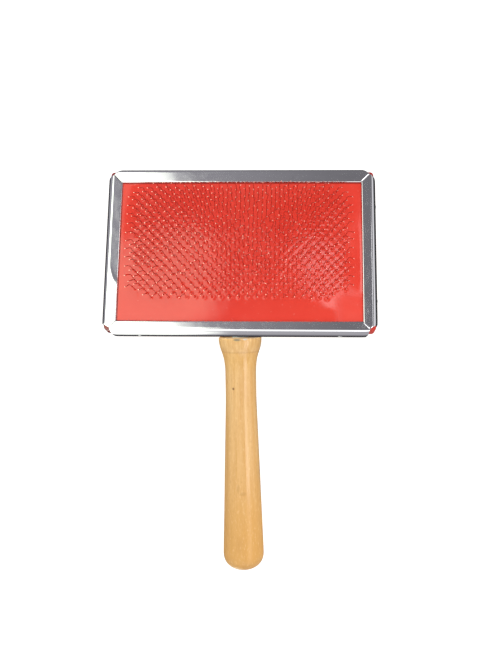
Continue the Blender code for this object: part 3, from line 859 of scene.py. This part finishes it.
def build_strip(side, half, flange_in, turn, end_lo, end_hi, warp, bend=BEND_R, wall_deg=90, crisp=False):
    """A rolled strip: flange over the card, soft bend, wall down the board's side.

    end_lo and end_hi give the strip's length on each side of its middle against the distance
    out from the head's middle: along the mitre, then square across the wall."""
    spin = Matrix.Rotation(radians(turn), 3, "Z")
    profile = strip_profile(half, flange_in, bend, wall_deg, crisp)
    wall_top = HEAD_T - bend
    count = int(2 * lerp_table(end_hi, half) / 0.9)
    fr = [-1, -0.9985, -0.996, -0.992] + [
        -0.985 + 1.97 * k / count for k in range(count + 1)
    ] + [0.992, 0.996, 0.9985, 1]
    length = [0.0]
    for (d0, z0, _), (d1, z1, _) in zip(profile, profile[1:]):
        length.append(length[-1] + hypot(d1 - d0, z1 - z0))
    verts, uv, index = [], [], {}
    for i, f in enumerate(fr):
        for j, (d, z, a) in enumerate(profile):
            lo, hi = lerp_table(end_lo, d), lerp_table(end_hi, d)
            if a > 0.2:  # the wall's ends are nipped in a little towards its lower edge
                nip = 0.55 * smooth01((wall_top - z) / (wall_top - WALL_LOW)) ** 2
                lo, hi = lo - nip, hi - nip
            t = hi * f if f > 0 else lo * f
            dz, dd = warp(t, d, z, max(a, 0.0))
            # end burrs are dressed down slightly
            edge = min(hi - t, t + lo)
            dz -= 0.05 * exp(-edge / 0.3) * cos(a)
            dd -= 0.12 * exp(-edge / 0.6) * sin(max(a, 0.0))
            p = spin @ Vector((t, d + dd, z + dz))
            index[i, j] = len(verts)
            verts.append(p * MM)
            uv.append((t / 100.0, (length[j] + turn) / 100.0))
    faces = [
        (index[i, j], index[i + 1, j], index[i + 1, j + 1], index[i, j + 1])
        for i in range(len(fr) - 1)
        for j in range(len(profile) - 1)
    ]
    mid = faces[len(faces) // 2]
    a, b, c = (Vector(verts[v]) for v in mid[:3])
    if (b - a).cross(c - a).dot(Vector((0, 0, 1)) * 0.5 + (spin @ Vector((0, 1, 0)))) < 0:
        faces = [q[::-1] for q in faces]
    obj = obj_from(
        f"strip_{side}", verts, faces, HEAD, PLATED, [f"frame_rail_{side}"],
        sharp=50, uv=uv,
    )
    thick = obj.modifiers.new("thickness", "SOLIDIFY")
    thick.thickness = 0.42 * MM
    thick.offset = -1.0
    bevel = obj.modifiers.new("edges", "BEVEL")
    bevel.width = 0.11 * MM
    bevel.segments = 3
    bevel.limit_method = "ANGLE"
    bevel.angle_limit = radians(50)
    return obj


def wavy(seed, amp=0.02):
    def f(t, d, z, a):
        w = noise.noise(Vector((t / 16.0, d / 9.0 + seed, seed * 1.7)))
        v = noise.noise(Vector((t / 5.5, d / 4.0 + seed, seed * 3.1)))
        return (amp * w + amp * 0.35 * v) * cos(a), (amp * w + amp * 0.35 * v) * sin(a) - amp
    return f


def dent(t, d, at_t, at_d, size, depth):
    return -depth * exp(-((t - at_t) ** 2 + (d - at_d) ** 2) / size**2)


def warp_left(t, d, z, a):
    """Its flange leans in towards the card over the far three quarters."""
    dz, dd = wavy(3)(t, d, z, a)
    # turned by 90 degrees: the strip's own +t is +Y
    out = min(1.0, max(0.0, (OUT_X - BEND_R - d) / (OUT_X - BEND_R - WIN_X)))
    start = -16.6 + 8.0 * (1 - out) ** 2
    lean = smooth01((t - start) / 4.0)
    if a < 0.01:
        dz -= 0.20 * lean * out
    return dz, dd


def warp_right(t, d, z, a):
    dz, dd = wavy(5)(t, d, z, a)
    y = -t
    if a < 0.01:
        dz += dent(y, d, -12.8, 56.4, 0.40, 0.022) + dent(y, d, -28.5, 56.2, 0.42, 0.030)
        dz += dent(y, d, -23.5, 55.6, 0.30, 0.014)
    return dz, dd


def warp_near(t, d, z, a):
    dz, dd = wavy(8)(t, d, z, a)
    x = -t
    if a < 0.01:
        dz += dent(x, d, -6.7, 34.1, 0.45, 0.035) + dent(x, d, 9.5, 34.3, 0.40, 0.030)
        dz += dent(x, d, 20.5, 35.0, 0.35, 0.020)
    return dz, dd


def warp_far(t, d, z, a):
    dz, dd = wavy(11)(t, d, z, a)
    if a < 0.01:
        dz += dent(t, d, 24.0, 33.4, 0.5, 0.04)
    return dz, dd


G = 0.05  # half of the gap at a mitre
# each corner is cut off square to the diagonal, where the mitre runs out
FAR_END = [(WIN_FAR, WIN_X - G), (35.2, WIN_X + 3.9 - G), (37.5, 54.5)]
NEAR_END = [(-WIN_NEAR, WIN_X - G), (36.0, WIN_X + 2.9 - G), (37.5, 55.9)]
SIDE_FAR = [(WIN_X, WIN_FAR - G), (WIN_X + 3.9, 35.2 - G), (60.0, 33.3)]
SIDE_NEAR = [(WIN_X, -WIN_NEAR - G), (WIN_X + 2.9, 36.0 - G), (60.0, 33.9)]
build_strip("far", OUT_Y, WIN_FAR, 0, FAR_END, FAR_END, warp_far, bend=1.5)
build_strip("near", OUT_Y, -WIN_NEAR, 180, NEAR_END, NEAR_END, warp_near, bend=1.4, wall_deg=80)
# turned by 90 degrees, +t is +Y on the left strip; by 270, +t is -Y on the right one
build_strip("left", OUT_X, WIN_X, 90, SIDE_NEAR, SIDE_FAR, warp_left)
build_strip("right", OUT_X, WIN_X, 270, SIDE_FAR, SIDE_NEAR, warp_right, crisp=True)


# ---------------------------------------------------------------- tacks
def build_tacks():
    places = {
        "far": (OUT_Y, 0, (-44.0, 0.0, 44.0)),
        "near": (OUT_Y, 180, (-44.0, 44.0)),
        "left": (OUT_X, 90, (-22.0, 22.0)),
        "right": (OUT_X, 270, (-22.0, 22.0)),
    }
    head = [(0, 0.0), (0.45, 0.02), (0.80, 0.10), (1.02, 0.24), (1.10, 0.36), (1.06, 0.44),
            (0.92, 0.47), (0.46, 0.48), (0.45, 0.70), (0.45, 6.4), (0.30, 7.0), (0, 7.6)]
    for side, (half, turn, spots) in places.items():
        spin = Matrix.Rotation(radians(turn), 4, "Z")
        for k, t in enumerate(spots, 1):
            verts, faces = lathe(head, 20)
            at = Matrix.Translation(Vector((t, half + 0.56, 5.6)) * MM)
            turn_in = Matrix.Rotation(pi / 2, 4, "X")  # +Z of the lathe points inwards (-Y)
            name = f"tack_{side}_{k}"
            obj_from(
                name, verts, faces, HEAD @ spin @ at @ turn_in, TACK,
                [f"rail_tack_{side}_{k}"], sharp=50,
            )


build_tacks()


# ---------------------------------------------------------------- board
def rounded_outline(half_x, half_y, r, segs):
    pts = []
    for cx, cy, a0 in (
        (half_x - r, half_y - r, 0),
        (-half_x + r, half_y - r, 90),
        (-half_x + r, -half_y + r, 180),
        (half_x - r, -half_y + r, 270),
    ):
        for k in range(segs + 1):
            a = radians(a0 + 90 * k / segs)
            pts.append((cx + r * cos(a), cy + r * sin(a)))
    return pts


def build_board():
    bm = bmesh.new()
    rings = []
    edge = 0.7
    levels = [(edge * (1 - sin(a)), edge * (1 - cos(a))) for a in (0, pi / 8, pi / 4, 3 * pi / 8, pi / 2)]
    # (inset, height) from the back up to the pad side
    stack = [(i, h) for i, h in levels] + [(i, BOARD_T - h) for i, h in levels[::-1]]
    stack = [(levels[k][0], levels[k][1]) for k in range(5)]
    stack = [(edge * (1 - sin(k * pi / 8)), edge * (1 - cos(k * pi / 8))) for k in range(5)]
    stack += [(i, BOARD_T - h) for i, h in stack[::-1]]
    for inset, z in stack:
        outline = rounded_outline(BOARD_X - inset, BOARD_Y - inset, 4.2 - inset, 6)
        rings.append([bm.verts.new((x * MM, y * MM, z * MM)) for x, y in outline])
    for a, b in zip(rings, rings[1:]):
        for k in range(len(a)):
            j = (k + 1) % len(a)
            bm.faces.new((a[k], a[j], b[j], b[k]))
    bm.faces.new(rings[0][::-1])
    bm.faces.new(rings[-1])
    mesh = mesh_from(bm, "back_board")
    obj = finish_obj("back_board", mesh, HEAD, WOOD_BOARD, ["head_board"], 30)
    boolean_cut(
        obj,
        box_mesh(
            (-TANG_W / 2 - 0.25, -BOARD_Y - 5, -3),
            (TANG_W / 2 + 0.25, -BOARD_Y + TANG_IN_BOARD + 0.25, TANG_T + 0.25),
        ),
    )
    obj.data.shade_smooth()
    obj.data.set_sharp_from_angle(angle=radians(30))
    return obj


build_board()


# ---------------------------------------------------------------- tang
def build_tang():
    """A strip of steel in the board's back, bent at the neck and run into the handle."""
    along = Vector((0, -cos(HANDLE_BACK), -sin(HANDLE_BACK)))
    bend = Vector((0, COLLAR_Y, TANG_Z))
    end_y = -BOARD_Y + TANG_IN_BOARD
    r = 3.2
    path = []
    for k in range(9):
        path.append(Vector((0, end_y + (COLLAR_Y + r * 0.5 - end_y) * k / 8, TANG_Z)))
    a, b = path[-1], bend + along * r * 0.5
    for k in range(1, 7):
        f = k / 6
        path.append(a * (1 - f) ** 2 + bend * 2 * f * (1 - f) + b * f * f)
    for k in range(1, 7):
        path.append(b + (bend + along * TANG_IN_HANDLE - b) * k / 6)
    ch = 0.28
    w, h = TANG_W / 2, TANG_T / 2
    section = []
    for sx, sz, a0 in ((1, 1, 0), (-1, 1, 90), (-1, -1, 180), (1, -1, 270)):
        for k in range(3):
            ang = radians(a0 + 45 * k)
            section.append((sx * (w - ch) + ch * cos(ang), sz * (h - ch) + ch * sin(ang)))
    verts, faces = [], []
    n = len(section)
    for k, p in enumerate(path):
        t = (path[min(k + 1, len(path) - 1)] - path[max(k - 1, 0)]).normalized()
        up = Vector((1, 0, 0)).cross(t).normalized()
        if up.z < 0:
            up = -up
        run = max(0.0, COLLAR_Y - p.y)
        shrink = 0.985 if k in (0, len(path) - 1) else 1.0
        for x, z in section:
            q = p + Vector((x * shrink, 0, 0)) + up * z * shrink
            q.x += run * tan(ASKEW)
            verts.append(q * MM)
    for k in range(len(path) - 1):
        for m in range(n):
            q = (m + 1) % n
            faces.append((k * n + m, (k + 1) * n + m, (k + 1) * n + q, k * n + q))
    faces.append(tuple(range(n)))
    last = (len(path) - 1) * n
    faces.append(tuple(last + m for m in range(n))[::-1])
    bm = bmesh.new()
    mesh = bpy.data.meshes.new("tang")
    mesh.from_pydata([tuple(v) for v in verts], [], faces)
    bm.from_mesh(mesh)
    bpy.data.meshes.remove(mesh)
    mesh = mesh_from(bm, "tang_strip")
    obj = finish_obj("tang_strip", mesh, HEAD, ZINC, ["tang"], 40)
    for y in (-29.0, -12.0, 5.0):
        cone_v, cone_f = lathe([(0, -1.0), (2.35, -1.0), (2.35, 0.1), (1.15, 1.35), (1.15, 4.0), (0, 4.0)], 28)
        cut = bpy.data.meshes.new("cut")
        cut.from_pydata([(x, yy + y * MM, z) for x, yy, z in cone_v], [], cone_f)
        bmc = bmesh.new()
        bmc.from_mesh(cut)
        bpy.data.meshes.remove(cut)
        boolean_cut(obj, mesh_from(bmc, "cut"))
    obj.visible_glossy = False
    obj.data.shade_smooth()
    obj.data.set_sharp_from_angle(angle=radians(40))
    lay_out(obj)
    return obj


build_tang()


def build_screws():
    profile = [(0, 0.02), (1.7, 0.02), (1.95, 0.06), (2.02, 0.16), (1.98, 0.26), (0.95, 1.30),
               (0.88, 1.5), (0.86, 5.4), (0.5, 6.1), (0, 6.5)]
    for k, y in enumerate((-29.0, -12.0, 5.0), 1):
        verts, faces = lathe(profile, 32)
        mesh = bpy.data.meshes.new("screw")
        mesh.from_pydata(verts, [], faces)
        bm = bmesh.new()
        bm.from_mesh(mesh)
        bpy.data.meshes.remove(mesh)
        mesh = mesh_from(bm, "screw")
        turned = HEAD @ Matrix.Translation((0, y * MM, 0)) @ Matrix.Rotation(radians(17 + 31 * k), 4, "Z")
        obj = finish_obj(f"screw_{k}", mesh, turned, SCREW, [f"tang_screw_{k}"], 30)
        for a in (0, pi / 2):  # the cross recess, each arm narrowing as it goes in
            bm = bmesh.new()
            bmesh.ops.create_cube(bm, size=1.0)
            for v in bm.verts:
                deep = v.co.z > 0
                v.co = Vector((
                    v.co.x * (1.3 if deep else 2.5),
                    v.co.y * (0.30 if deep else 0.48),
                    0.95 if deep else -0.6,
                )) * MM
            bmesh.ops.rotate(bm, matrix=Matrix.Rotation(a, 3, "Z"), verts=bm.verts)
            boolean_cut(obj, mesh_from(bm, "cross"))
        obj.data.shade_smooth()
        obj.data.set_sharp_from_angle(angle=radians(30))


build_screws()


# ---------------------------------------------------------------- handle
def handle_radius(s):
    if s <= CREASE_S:
        return COLLAR_R - (COLLAR_R - CREASE_R) * (s / CREASE_S) ** 2.2
    if s <= WAIST_S0:
        return WAIST_R + (CREASE_R - WAIST_R) * (1 - (s - CREASE_S) / (WAIST_S0 - CREASE_S)) ** 2.6
    if s <= BUTT_S:
        run = max(0.0, s - WAIST_S1)
        slope = (BUTT_R - WAIST_R) / (BUTT_S - WAIST_S1 - 3.0)
        return WAIST_R + slope * (run * run / 12.0 if run < 6.0 else run - 3.0)
    u = (s - BUTT_S) / (HANDLE_L - BUTT_S)
    return BUTT_R * max(0.0, 1 - u**2.6) ** 0.5


def build_handle():
    """The turned handle, its tang slot in the collar's end face."""
    profile = [(0.0, 0.0)]
    lip = 0.45
    profile.append((COLLAR_R - lip, 0.0))
    for k in range(1, 5):
        a = k / 4 * pi / 2
        profile.append((COLLAR_R - lip + lip * sin(a), lip * (1 - cos(a))))
    s = lip + 0.35
    while s < BUTT_S:
        soft = handle_radius(s)
        # ease the crease between collar and neck
        if abs(s - CREASE_S) < 1.2:
            w = 1 - abs(s - CREASE_S) / 1.2
            soft = soft * (1 - w) + w * (handle_radius(s - 0.6) + handle_radius(s + 0.6)) / 2
        profile.append((soft, s))
        s += 0.45 if s < WAIST_S1 else 1.1
    for k in range(0, 20):
        a = k / 20 * pi / 2
        profile.append((handle_radius(BUTT_S + (HANDLE_L - BUTT_S) * sin(a)),
                        BUTT_S + (HANDLE_L - BUTT_S) * sin(a)))
    profile.append((0.0, HANDLE_L))
    verts, faces = lathe(profile, 96)
    # stand the lathe's axis along -Y, and leave the slight flats and wander of hand sanding
    out = []
    for x, y, z in verts:
        s = z / MM
        r = hypot(x, y)
        a = atan2(y, x)
        if r > 0:
            wob = 1 + 0.0035 * noise.noise(Vector((cos(a) * 1.6, sin(a) * 1.6, s / 22.0)))
            r *= min(1.0, wob - 0.0012)
        out.append((r * cos(a), -z, r * sin(a)))
    mesh = bpy.data.meshes.new("handle")
    mesh.from_pydata(out, [], faces)
    bm = bmesh.new()
    bm.from_mesh(mesh)
    bpy.data.meshes.remove(mesh)
    mesh = mesh_from(bm, "turned_handle")
    obj = finish_obj("turned_handle", mesh, HANDLE, WOOD_HANDLE, ["handle"], 40)
    w, h = TANG_W / 2 + 0.28, TANG_T / 2 + 0.28
    boolean_cut(obj, box_mesh((-w, -TANG_IN_HANDLE - 1.3, -h), (w, 3.0, h)))
    obj.visible_glossy = False
    obj.data.shade_smooth()
    obj.data.set_sharp_from_angle(angle=radians(40))
    # lay the mesh out in the row frame, the grain keeping to the handle's own axes
    own = np.empty(3 * len(obj.data.vertices), dtype=np.float32)
    obj.data.vertices.foreach_get("co", own)
    kept = obj.data.attributes.new("own_axes", "FLOAT_VECTOR", "POINT")
    kept.data.foreach_set("vector", own)
    lay_out(obj)
    return obj


build_handle()


# ---------------------------------------------------------------- floor, light and air
def build_floor():
    mat, n, sh = material("pale_floor")
    at = n.add("ShaderNodeTexCoord").outputs["Object"]
    tone = n.noise(at, 3.0, 2.0, 0.5)
    n.put(sh.inputs["Base Color"], n.mix(tone, (0.42, 0.42, 0.42), (0.44, 0.44, 0.44)))
    sh.inputs["Roughness"].default_value = 1.0
    sh.inputs["Specular IOR Level"].default_value = 0.0
    sh.inputs["Emission Color"].default_value = (1, 1, 1, 1)
    sh.inputs["Emission Strength"].default_value = 0.84
    bm = bmesh.new()
    bmesh.ops.create_grid(bm, x_segments=2, y_segments=2, size=4.0)
    mesh = bpy.data.meshes.new("floor")
    bm.to_mesh(mesh)
    bm.free()
    mesh.materials.append(mat)
    obj = bpy.data.objects.new("floor", mesh)
    obj.location.z = CAD_LO.z - 0.0002
    scene.collection.objects.link(obj)
    obj.visible_glossy = False


build_floor()


def sun(name, towards, strength, angle, colour=(1, 1, 1)):
    """Soft light coming from the direction towards."""
    data = bpy.data.lights.new(name, "SUN")
    data.energy = strength
    data.angle = radians(angle)
    data.color = colour
    obj = bpy.data.objects.new(name, data)
    scene.collection.objects.link(obj)
    obj.rotation_mode = "QUATERNION"
    obj.rotation_quaternion = Vector(towards).normalized().to_track_quat("Z", "Y")
    obj.visible_glossy = False
    obj.visible_camera = False
    return obj


sun("key_fill", (0.10, 0.26, 1.0), 1.53, 80)
sun("dome_fill", (0.28, 0.08, 1.0), 1.97, 150)


def build_air():
    """The studio seen in the gloss: a large white screen on the left and in front, a narrow
    one on the right, dim walls above and a dark floor edge below."""
    world = bpy.data.worlds.new("studio")
    scene.world = world
    world.use_nodes = True
    tree = world.node_tree
    tree.nodes.clear()
    n = Nodes(tree)
    out = n.add("ShaderNodeOutputWorld")
    shade = n.add("ShaderNodeBackground")
    n.link(shade.outputs[0], out.inputs[0])
    dirn = n.add("ShaderNodeTexCoord").outputs["Generated"]
    a = n.vec("DOT_PRODUCT", dirn, tuple(XL))
    b = n.vec("DOT_PRODUCT", dirn, tuple(YL))
    c = n.vec("DOT_PRODUCT", dirn, tuple(ZL))
    sep = n.add("ShaderNodeSeparateXYZ")
    n.put(sep.inputs[0], dirn)
    wy, wz = sep.outputs[1], sep.outputs[2]

    def band(value, lo, hi, soft):
        up = n.step(value, lo - soft, lo + soft)
        return n.math("MULTIPLY", up, n.step(value, hi - soft, hi + soft, 1.0, 0.0))

    def lin(p, q, r):
        """p*a + q*b + r*c"""
        s = n.math("ADD", n.math("MULTIPLY", a, p), n.math("MULTIPLY", b, q))
        return n.math("ADD", s, n.math("MULTIPLY", c, r))

    above = n.step(wz, -0.06, 0.04)
    fore = n.step(wy, -0.20, -0.50)
    # left screen, reaching lower in front
    edge = n.math("ADD", a, n.math("MULTIPLY", n.math("MAXIMUM", b, -0.10), 0.10))
    left = n.step(n.math("ADD", edge, 0.103), 0.040, -0.036)
    left = n.math("MULTIPLY", left, n.step(lin(-0.46, 1.0, 0.0), 0.585, 0.535))
    left = n.math("MULTIPLY", left, n.step(b, -0.93, -0.80))
    left = n.math("MULTIPLY", left, n.step(n.math("ADD", wz, n.math("MULTIPLY", n.math("MULTIPLY", fore, n.step(a, -0.50, -0.28)), 0.60)), -0.30, -0.16))
    # right strip
    right = n.step(lin(cos(radians(30)), 0.0, -sin(radians(30))), -0.02, 0.02)
    right = n.math("MULTIPLY", right, n.step(lin(cos(radians(58)), 0.0, -sin(radians(58))), 0.03, -0.03))
    low_part = n.step(b, -0.30, -0.40)
    right = n.math("MULTIPLY", right, n.math("MULTIPLY", low_part, band(b, -0.72, 0.30, 0.06)))
    # a dimmer, softer one low on the right
    side = n.step(lin(cos(radians(52)), 0.0, -sin(radians(52))), -0.10, 0.10)
    side = n.math("MULTIPLY", side, n.step(lin(cos(radians(82)), 0.0, -sin(radians(82))), 0.12, -0.12))
    side = n.math("MULTIPLY", side, n.math("MULTIPLY", n.step(b, -0.40, -0.30), n.step(b, 0.50, 0.20, 0.65, 1.0)))
    right = n.math("MULTIPLY", right, n.step(c, 0.0, 0.1))
    # front screen
    front = band(n.math("ARCTAN2", wz, n.math("MULTIPLY", wy, -1.0)), radians(8), radians(46), 0.10)
    front = n.math("MULTIPLY", front, band(a, -0.80, 0.60, 0.10))
    front = n.math("MULTIPLY", front, n.step(wy, 0.0, -0.1))
    # pale ground in front, fading out close underneath
    apron = n.math("MULTIPLY", band(wz, -0.86, 0.08, 0.08), fore)
    # a small window, seen as a slanting patch on the right of the card
    pane = n.step(lin(1.0, 0.0, -tan(radians(8.7))), -0.006, 0.022)
    pane = n.math("MULTIPLY", pane, n.step(lin(1.0, -0.60, -tan(radians(13.0))), 0.035, -0.020))
    pane = n.math("MULTIPLY", pane, band(b, -0.13, 0.335, 0.03))
    pane = n.math("MULTIPLY", pane, n.step(c, 0.0, 0.2))
    walls = n.step(a, -0.14, 0.06, 0.34, 0.15, kind="LINEAR")
    base = n.math("ADD", n.math("MULTIPLY", above, walls), 0.06)
    total = base
    for mask, power in ((left, 2.6), (right, 3.4), (side, 0.80), (front, 2.2), (pane, 3.4), (apron, 0.42)):
        total = n.math("ADD", total, n.math("MULTIPLY", mask, power))
    tint = n.mix(n.step(total, 0.2, 1.2), (0.95, 0.92, 1.0), (1.0, 1.0, 1.0))
    tint = n.mix(left, tint, (0.94, 1.0, 0.84))
    n.put(shade.inputs["Color"], tint)
    n.put(shade.inputs["Strength"], total)
    world.cycles_visibility.diffuse = False


build_air()
scene.view_settings.view_transform = "Standard"
scene.view_settings.look = "None"
